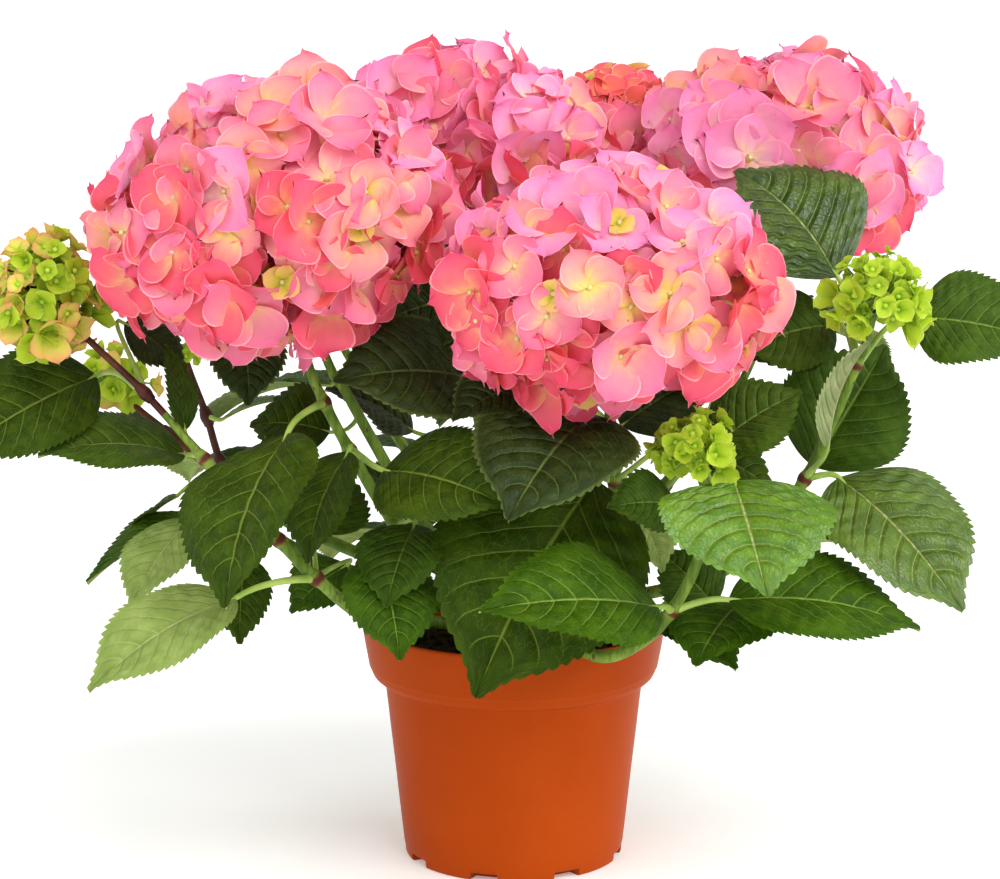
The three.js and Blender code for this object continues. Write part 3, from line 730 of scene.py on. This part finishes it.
def leaf(uppers, unders, petioles, nodes, row, random):
    """One blade with its teeth, folds and quilted veins, and the petiole that carries it."""
    node, foot, tip, width, roll, tone = row
    reach = np.linalg.norm(tip - foot)
    ahead = (tip - foot) / reach
    face = turned(unit(UP - ahead * ahead[2]), ahead, math.radians(roll))
    side = np.cross(ahead, face)
    small = min(1.0, reach / LEAF_GROWN)
    s, tooth = leaf_rows(max(9, round(TEETH * small)))
    S, Q = np.meshgrid(s, COLUMNS, indexing="ij")
    fold = math.radians(ROLLED_FOLD if tone == "rolled" else LEAF_FOLD)
    shape = blade_shape(S, Q, tooth, reach, width, small, fold, random)
    forward, aside, above, deep = (values[..., None] for values in shape)
    top = foot + forward * ahead + aside * side + above * face
    places = np.stack([0.004 + 0.992 * S, 0.004 + 0.992 * (Q + 1) / 2], -1)
    uppers[tone].grid(top, places)
    under = uppers[tone] if tone in ("pale", "rolled") else unders
    under.grid(top - deep * face, places, flipped=True)
    sunk = top[4, len(COLUMNS) // 2] - face * 0.4
    petiole(petioles, nodes[node], foot, ahead, sunk, small)


def petiole(heap, root, foot, ahead, sunk, small):
    """A curved stalk that leaves the cane square to it and runs on under the midrib."""
    span = np.linalg.norm(foot - root)
    leave = unit(foot - root + UP * 0.15 * span)
    t = np.linspace(0, 1, 9)[:, None]
    a, b = root + leave * span * 0.35, foot - ahead * span * 0.3
    path = ((1 - t) ** 3 * root + 3 * t * (1 - t) ** 2 * a + 3 * t * t * (1 - t) * b
            + t ** 3 * (foot - UP * 0.3))
    path = np.concatenate([path, [sunk]])
    share = np.linspace(0, 1, len(path))
    radii = tapered(PETIOLE_RADIUS, share)
    radii = radii * (0.45 + 0.55 * small) * (1 + 0.35 * np.exp(-(share / 0.12) ** 2))
    radii[-1] *= 0.5
    heap.tube(path, radii, 8)


# ---- blooms

SEPAL_ROWS = 8
SEPAL_BREADTH = 1.24


def sepal(heap, centre, axis, out, length, cup, curl, random, rows):
    """One sepal: a broad cupped blade from the floret's middle, running out along "out"."""
    u = np.linspace(0.03, 1, rows + 1)
    w = np.linspace(-1, 1, rows + 1)
    U, W = np.meshgrid(u, w, indexing="ij")
    width = np.sin(np.pi * (0.05 + 0.95 * U) ** 0.86) ** 0.66
    width = np.maximum(np.nan_to_num(width), 0.02)
    half = SEPAL_BREADTH * length / 2 * width
    ruffle = 0.10 * length * (0.4 + random())
    waves = 5.0 + 5.0 * random()
    phase = 6.3 * random()
    lean = 0.04 + 0.22 * random()
    crease = 0.16 * (random() - 0.35)
    bend = 0.20 * (random() - 0.5)
    point_out = 0.15 * length * smoothstep(U, 0.72, 1) * np.exp(-(W / 0.3) ** 2)
    a = length * U + point_out
    x = half * W + bend * length * U * U
    h = length * (cup * U - curl * U ** 2.5) + (0.2 + 0.5 * cup) * x * x / length
    h = h + crease * np.abs(half * W) + lean * half * W
    h = h + ruffle * U * np.abs(W) ** 1.3 * np.sin(waves * U + 2.0 * np.sign(W) + phase)
    side = np.cross(axis, out)
    points = centre + a[..., None] * out + x[..., None] * side + h[..., None] * axis
    places = np.stack([0.005 + 0.99 * U, 0.005 + 0.99 * (W + 1) / 2], -1)
    heap.grid(points, places)


def floret(heap, beads, centre, axis, size, random, rows=SEPAL_ROWS, cup=None):
    """Four overlapping sepals in two pairs round a small bead."""
    side = unit(np.cross(OFF_AXIS, axis))
    spin = 2 * math.pi * random()
    cup = 0.05 + 0.55 * random() ** 1.3 if cup is None else cup
    curl = 0.02 + 0.30 * random()
    for k in range(4):
        angle = spin + k * math.pi / 2 + 0.22 * (random() - 0.5)
        out = turned(side, axis, angle)
        length = size * (0.9 + 0.2 * random())
        base = centre + axis * (0.5 if k % 2 else 0.0)
        raised = cup + 0.2 * (random() - 0.5)
        sepal(heap, base, axis, out, length, raised, curl, random, rows)
    beads.ball(centre + axis * 0.9, 1.25, axis)


# A dome's florets stray from an even spiral: in bearing by degrees, in depth by lumps and at
# random, and in their tilt. They face outward rather than up, and a little to the plant's front.
GOLDEN_TURN = 137.508
STRAY = {"bearing": 29, "lumps": 0.05, "depth": 0.14, "tilt": 0.85}
OUTWARD = np.array([1.0, 1.0, 0.75])
FRONTWARD = np.array([0.0, -0.25, 0.0])


def dome(head, count, random, radius=1.0, wander=1.0):
    """Places and outward ways on a bloom, by the part's golden-angle spiral."""
    centre = np.array(head["centre"], float)
    radii = np.array(head["radii"], float) * radius
    lowest = math.cos(math.radians(head["spread"]))
    for k in range(count):
        level = 1 - ((k + 0.5) / count) * (1 - lowest)
        flat = math.sqrt(1 - level * level)
        bearing = math.radians(k * GOLDEN_TURN + STRAY["bearing"] * random() * wander)
        way = np.array([flat * math.cos(bearing), flat * math.sin(bearing), level])
        lumps = math.sin(5 * way[0] + head["seed"]) * math.cos(4 * way[2] + 2 * way[1])
        depth = 1 + STRAY["lumps"] * lumps + STRAY["depth"] * (random() - 0.5)
        off = way * radii * depth
        off[0] += head.get("lean", 0) * off[2]
        tilt = STRAY["tilt"] * wander * wobble(random)
        yield centre + off, unit(way * OUTWARD + FRONTWARD + tilt), level


# Which looks florets have, by the mood of their bloom: a look takes the random shares up to its
# limit. Below LOW a dome is coral, and above its level in CROWNS it has its crown's looks.
# The paler lilac crown looks are partly painted light from above, and the deeper coral below LOW is
# partly painted shade.
LOOKS = {
    "young": ((0.16, "lime"), (0.7, "flame"), (0.85, "coral"), (1, "peach")),
    "low": ((0.7, "coral"), (1, "rose")),
    "cool": ((0.65, "blush"), (0.92, "rose"), (1, "peach")),
    "rosy": ((0.4, "rose"), (0.9, "blush"), (0.95, "coral"), (1, "peach")),
    "soft": ((0.55, "peach"), (0.85, "coral"), (1, "rose")),
    "soft crown": ((0.55, "blush"), (0.92, "rose"), (1, "peach")),
    "warm": ((0.3, "rose"), (0.52, "coral"), (1, "peach")),
    "warm crown": ((0.45, "rose"), (0.75, "blush"), (1, "peach")),
}
LOW = -0.15
CROWNS = {"soft": 0.3, "warm": 0.35}

# The looks of the florets that show in the gaps between the outer ones.
# Their deep orange-red looks are partly the florets' own colour and partly painted shade in the
# hollows between the outer florets.
INNER_LOOKS = {
    "young": ((0.7, "flame"), (0.85, "coral"), (1, "lime")),
    "warm": ((0.4, "flame"), (0.75, "coral"), (0.9, "peach"), (1, "lime")),
    "other": ((0.1, "flame"), (0.4, "coral"), (0.8, "rose"), (1, "peach")),
}

# Inner and lime florets, as shares of the layer before them, and how far in they stand.
INNER = {"share": 0.55, "depth": 0.17}
LIME = {"share": 0.3, "depth": 0.03}


def dealt(looks, random):
    """The look that a random share falls to."""
    share = random()
    return next(look for limit, look in looks if share < limit)


def look_of(mood, level, random):
    """Which look an outer floret has."""
    if level < LOW and mood != "young":
        mood = "low"
    elif level > CROWNS.get(mood, 1):
        mood += " crown"
    return dealt(LOOKS[mood], random)


def stalk(heap, place, axis, centre, share, radius):
    """A floret's thin stalk, from its back some share of the way to the middle of the head."""
    inward = unit(centre - place)
    reach = share * np.linalg.norm(centre - place)
    t = np.linspace(0, 1, 6)[:, None]
    end = place + inward * reach
    path = (1 - t) ** 2 * place + 2 * t * (1 - t) * (place - axis * reach * 0.45) + t * t * end
    heap.tube(path, np.linspace(radius, radius * 1.3, 6), 6)


def bloom(heaps, beads, stalks, head):
    """An open head: its outer florets on their stalks, the inner ones and a few lime ones."""
    random = seeded(head["seed"])
    centre = np.array(head["centre"], float)
    size = head["size"]
    reach = head.get("reach", 0.93)
    for place, axis, level in dome(head, head["florets"], random, reach):
        look = look_of(head["mood"], level, random)
        grown = size * (0.78 + 0.36 * random())
        floret(heaps[look], beads, place, axis, grown, random)
        stalk(stalks, place, axis, centre, 0.45, 0.6)
    inner = round(head["florets"] * INNER["share"])
    inner_looks = INNER_LOOKS.get(head["mood"], INNER_LOOKS["other"])
    for place, axis, _ in dome(head, inner, random, reach - INNER["depth"], 1.4):
        look = dealt(inner_looks, random)
        floret(heaps[look], beads, place, axis, size * (0.7 + 0.3 * random()), random, 5)
    for place, axis, _ in dome(head, round(inner * LIME["share"]), random, reach - LIME["depth"]):
        floret(heaps["lime"], beads, place, axis, size * (0.36 + 0.2 * random()), random, 6, 0.6)


def bud_head(heaps, buds, stalks, head):
    """A green head: cupped florets in two layers, and round buds between them."""
    random = seeded(head["seed"])
    centre = np.array(head["centre"], float)
    for place, axis, level in dome(head, head["florets"], random, 0.82):
        ripe = random() < head["ripe"]
        grown = head["size"] * (0.6 + 0.45 * random()) * (1.15 - 0.35 * level)
        place = place + axis * head["size"] * 1.1 * (random() ** 3 - 0.12)
        floret(heaps["bud_ripe" if ripe else "bud_green"], buds, place, axis, grown, random, 6,
               0.45 + 1.3 * random() ** 2)
        stalk(stalks, place, axis, centre, 0.9, 0.45)
    for place, axis, _ in dome(head, head["florets"] // 2, random, 0.60):
        floret(heaps["bud_green"], buds, place, axis, head["size"] * 0.8, random, 5, 0.7)
    for place, axis, _ in dome(head, head["buds"], random, 0.76):
        radius = head["size"] * (0.13 + 0.12 * random())
        buds.ball(place, radius, axis, 1.1)
        stalk(stalks, place, axis, centre, 0.9, 0.35)


# ---- canes


def cane(canes, reds, joints, nodes, top, strip, bearing_nodes, red, bare):
    """One cane from the stool to the top node and on into its head, swollen at each joint.

    Above node count "red" it is maroon; a "bare" cane narrows to its growing tip.
    """
    steps = round((len(nodes) - 1) * 14)
    t = np.linspace(0, top, steps)
    path = np.array([along(nodes, x) for x in t])
    share = t / (len(nodes) - 1)
    radii = tapered(CANE_RADIUS, share)
    for k in bearing_nodes:
        off = np.linalg.norm(path - nodes[k], axis=1)
        radii = radii * (1 + JOINT_SWELL * np.exp(-(off / 3.2) ** 2))
    if bare:
        radii = radii * np.clip((top - t) / 0.25, 0.12, 1) ** 0.5
    if red:
        radii = radii * (1 - 0.25 * smoothstep(t, red - 1.2, red + 0.2))
    turn = int(np.searchsorted(t, red)) if red else steps
    canes.tube(path[:turn + 1], radii[:turn + 1], CANE_SIDES, strip)
    if turn < steps - 1:
        reds.tube(path[turn:], radii[turn:], CANE_SIDES, strip)
    for k in bearing_nodes:
        heap = reds if red and k >= red - 0.5 else joints
        joint(heap, nodes, k)


def joint(heap, nodes, k):
    """The ring round a cane at its node k."""
    rings = 7
    spacing = np.linalg.norm(along(nodes, k + 0.05) - along(nodes, k - 0.05)) / 0.1
    counts = k + np.linspace(-0.05, 0.05, rings) * (90.0 / max(spacing, 20.0))
    path = np.array([along(nodes, x) for x in counts])
    swell = 1.22 + 0.2 * np.cos(np.linspace(-math.pi, math.pi, rings))
    heap.tube(path, tapered(CANE_RADIUS, k / (len(nodes) - 1)) * swell, CANE_SIDES)


# ---- pot and soil


def pot_columns():
    """Bearings round the pot, closer together at the edges of the foot's notches, and whether
    each lies in a notch."""
    half_width = math.degrees(NOTCHES["width"] / 2 / NOTCHES["radius"])
    spacing = 360 / NOTCHES["count"]
    turns = set(np.linspace(0, 360, 145)[:-1].round(4))
    for k in range(NOTCHES["count"]):
        bearing = -90 - NOTCHES["middle"] + k * spacing
        for edge in (-half_width, half_width):
            turns |= {round((bearing + edge + aside) % 360, 4) for aside in (-0.15, 0.15)}
    turns = np.array(sorted(turns))
    off = (turns + 90 + NOTCHES["middle"] + spacing / 2) % spacing - spacing / 2
    return turns, np.abs(off) < half_width


def pot_shell():
    """The moulded pot: rounded rim, band with its crisp foot, tapered body, castellated foot."""
    body = [(62.6, 90), (64.6, 100), (66.4, 108), (68.0, 111.2), (68.5, 111.8), (69.1, 112),
            (69.6, 111.8), (69.95, 111.2), (69.95, 110.2), (69.2, 105), (68.2, 99), (67.2, 93.5),
            (66.75, 91), (66.6, 90.3), (66.1, 89.9), (65.9, 89.2), (65.6, 88), (64.8, 86.4),
            (63.2, 85), (61.2, 84.2), (60.1, 83.7), (59.5, 82.8), (59.3, 81.5), (58.3, 73),
            (56.9, 60), (55.2, 45), (53.4, 28), (51.9, 14), (51.0, 6), (50.45, 3.7)]
    foot = [((50.3, 1.2), (50.35, 3.65)), ((49.9, 0.3), (50.0, 3.6)), ((49.2, 0.0), (49.0, 3.6)),
            ((43.3, 0.0), (43.3, 3.6)), ((43.0, 0.0), (43.0, 0.05)), ((30.0, 0.0), (30.0, 0.0)),
            ((12.0, 0.0), (12.0, 0.0)), ((0.4, 0.0), (0.4, 0.0))]
    turns, cut = pot_columns()
    rows = [[place] * len(turns) for place in body]
    rows += [[notched if c else whole for c in cut] for whole, notched in foot]
    radius, height = np.moveaxis(np.array(rows, float), -1, 0)
    angle = np.radians(turns)
    points = np.stack([radius * np.cos(angle), radius * np.sin(angle), height], -1)[::-1]
    heap = Heap()
    heap.grid(points, grid_places(np.linspace(0, 1, len(rows)), turns / 360), closed=True)
    return heap


def soil_bed():
    """Crumbly compost, level but for its lumps, with coarser bits lying on it."""
    random = seeded(5)
    heap = Heap()
    turns = np.arange(90) * 4
    R, T = np.meshgrid(np.linspace(0.6, SOIL["radius"], 34), np.radians(turns), indexing="ij")
    rough = (np.sin(R * 0.9 + 3 * np.sin(T * 5)) * np.cos(T * 11 + R * 0.35) * 0.7
             + np.sin(R * 2.3 + T * 17) * 0.45 + np.sin(T * 29 - R * 1.7) * 0.35)
    z = SOIL_TOP - SOIL["below"] + rough * SOIL["lumps"]
    points = np.stack([R * np.cos(T), R * np.sin(T), z], -1)[::-1]
    places = np.stack([0.5 + 0.49 * R / 64 * np.cos(T), 0.5 + 0.49 * R / 64 * np.sin(T)], -1)
    heap.grid(points, places[::-1])
    for _ in range(SOIL["bits"]):
        turn = 2 * math.pi * random()
        radius = SOIL["bits_radius"] * math.sqrt(random())
        size = 0.7 + 1.7 * random() ** 2
        axis = unit(wobble(random) + 1e-3)
        place = np.array([radius * math.cos(turn), radius * math.sin(turn), SOIL_TOP - 1.6])
        heap.ball(place, size, axis, 0.6 + 1.2 * random(), 5, 6)
    return heap


def stool_crown():
    """The woody crown of the plant at the soil: a low ridged mound that the canes rise from."""
    heap = Heap()
    profile = [(26, 97.5), (25.6, 101), (24, 103.4), (20, 105.2), (12, 106), (0.5, 106.2)]
    turns = np.arange(72) * 5
    angle = np.radians(turns)
    rows = []
    for radius, z in profile:
        out = radius * (1 - 0.05 * np.abs(np.sin(angle * 9 + z)) * min(1, radius / 10))
        level = np.full(len(turns), float(z))
        rows.append(np.stack([out * np.cos(angle), out * np.sin(angle), level], -1))
    places = grid_places(np.linspace(0, 1, len(profile)), turns / 360)
    heap.grid(np.array(rows), places, closed=True)
    return heap


# ---- putting it together



def nodes_called(start):
    return [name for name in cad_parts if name.startswith(start)]


def grow_shoots():
    """Heaps for the blades' upper faces by tone, their undersides, the petioles and the canes'
    green bark, maroon bark and joints."""
    uppers = {tone: Heap() for tone in LEAF_TONES}
    unders, petioles, canes, reds, joints = (Heap() for _ in range(5))
    heads = {head["shoot"]: head for head in BLOOMS + BUD_HEADS}
    for number, shoot in enumerate(SHOOTS):
        random = seeded(200 + number)
        nodes = [point(row) for row in shoot["nodes"]]
        top = len(nodes) - 1
        head = heads.get(shoot.get("into", shoot["name"]))
        blades = [[row[0], point(row[1]), point(row[2]), *row[3:]] for row in
                  shoot.get("blades", [])]
        blades += [fan_blade(nodes, row) for row in shoot.get("fans", [])]
        bearing = sorted({row[0] for row in blades if 0 < row[0]})
        if head:
            nodes.append(np.array(head["centre"], float))
        strip = (number / len(SHOOTS) + 0.002, (number + 1) / len(SHOOTS) - 0.002)
        if not head:
            facing = shoot["fans"][-1][1]
            for turn in TIP_BLADES["turns"]:
                row = [top, facing + turn, TIP_BLADES["length"], TIP_BLADES["rise"]]
                blades.append(fan_blade(nodes, row))
        reach = top + (0.75 if head else 0)
        cane(canes, reds, joints, nodes, reach, strip, bearing, shoot.get("red"), not head)
        for row in blades:
            leaf(uppers, unders, petioles, nodes, row, random)
    return uppers, unders, petioles, canes, reds, joints


def grow_heads():
    """Heaps for the sepals by look, the beads, the buds, the stalks and the bud heads' stems."""
    sepals = {look: Heap() for look in SEPAL_LOOKS}
    beads, buds, stalks = (Heap() for _ in range(3))
    stems = {"green": Heap(), "red": Heap()}
    for head in BLOOMS + SPRAYS:
        bloom(sepals, beads, stalks, head)
    for head in BUD_HEADS:
        bud_head(sepals, buds, stems[head["stems"]], head)
    return sepals, beads, buds, stalks, stems


def build_plant():
    uppers, unders, petioles, canes, reds, joints = grow_shoots()
    sepals, beads, buds, stalks, stems = grow_heads()
    green = plain_material("petiole_green", (0.26, 0.42, 0.06), (0.42, 0.56, 0.13), 90.0, 0.5)
    flesh = plain_material("stalk_peach_green", (0.62, 0.42, 0.14), (0.50, 0.50, 0.14), 70.0, 0.55)
    bead = plain_material("bead_cream", (0.72, 0.62, 0.30), (0.62, 0.60, 0.22), 500.0, 0.5, 0.2)
    bud = plain_material("bud_lime", (0.34, 0.56, 0.03), (0.52, 0.70, 0.08), 200.0, 0.45, 0.2)
    piece("cane_bark", canes, cane_material(), nodes_called("cane_"))
    maroon = plain_material("cane_maroon", (0.045, 0.012, 0.010), (0.12, 0.035, 0.018), 120.0,
                            0.45)
    piece("cane_red_bark", reds, maroon)
    piece("cane_joints", joints, joint_material())
    piece("petioles", petioles, green)
    for tone, heap in uppers.items():
        under = nodes_called("foliage_") if tone == "deep" else ()
        piece(f"leaves_{tone}", heap, LEAF_TONES[tone], under)
    piece("leaf_undersides", unders, LEAF_TONES["pale"])
    for look, heap in sepals.items():
        stands_for = {"rose": nodes_called("bloom_"), "bud_green": nodes_called("bud_head_")}
        piece(f"sepals_{look}", heap, SEPAL_LOOKS[look], stands_for.get(look, ()))
    piece("floret_beads", beads, bead)
    piece("floret_stalks", stalks, flesh)
    piece("bud_beads", buds, bud)
    piece("bud_stalks", stems["green"], green)
    piece("bud_stalks_red", stems["red"], maroon)


def build_pot():
    piece("pot_shell", pot_shell(), pot_material(), ["pot"])
    soil = plain_material("compost_dark", (0.012, 0.008, 0.006), (0.045, 0.026, 0.015), 260.0,
                          0.95, 0.8)
    piece("compost_bed", soil_bed(), soil, ["soil"])
    bark = plain_material("crown_bark", (0.06, 0.04, 0.02), (0.17, 0.12, 0.06), 120.0, 0.9, 0.8)
    piece("stool_crown", stool_crown(), bark, ["stool"])


# ---- floor, light and camera


def studio():
    """A plain pale floor, an even sky and three soft suns."""
    half = FLOOR["half"]
    mesh = bpy.data.meshes.new("floor")
    mesh.from_pydata([(-half, -half, 0), (half, -half, 0), (half, half, 0), (-half, half, 0)],
                     [], [(0, 1, 2, 3)])
    floor = placed("floor", mesh)
    white = Graph("floor_white", 0.7, 0.5)
    white.set("Base Color", (FLOOR["shade"],) * 3)
    white.set("Emission Color", (1.0, 1.0, 1.0))
    white.set("Emission Strength", FLOOR["glow"])
    mesh.materials.append(white.material)

    world = bpy.data.worlds.new("studio")
    world.use_nodes = True
    background = world.node_tree.nodes["Background"]
    background.inputs["Color"].default_value = (1, 1, 1, 1)
    background.inputs["Strength"].default_value = SKY
    bpy.context.scene.world = world

    for name, tilt, bearing, spread, strength in SUNS:
        data = bpy.data.lights.new(name, "SUN")
        data.angle = math.radians(spread)
        data.energy = strength
        placed(name, data).rotation_euler = (math.radians(tilt), 0, math.radians(bearing))


def camera():
    """Stands 1.65 m in front of the pot and 0.55 m up, looking down a little."""
    data = bpy.data.cameras.new("camera")
    data.sensor_width = CAMERA["sensor"]
    data.lens = CAMERA["lens"]
    made = placed("camera", data)
    made.location = CAMERA["place"]
    made.rotation_euler = (math.radians(90 - CAMERA["down"]), 0, 0)
    bpy.context.scene.camera = made


build_plant()
build_pot()
studio()
camera()
bpy.context.scene.view_settings.view_transform = "Standard"
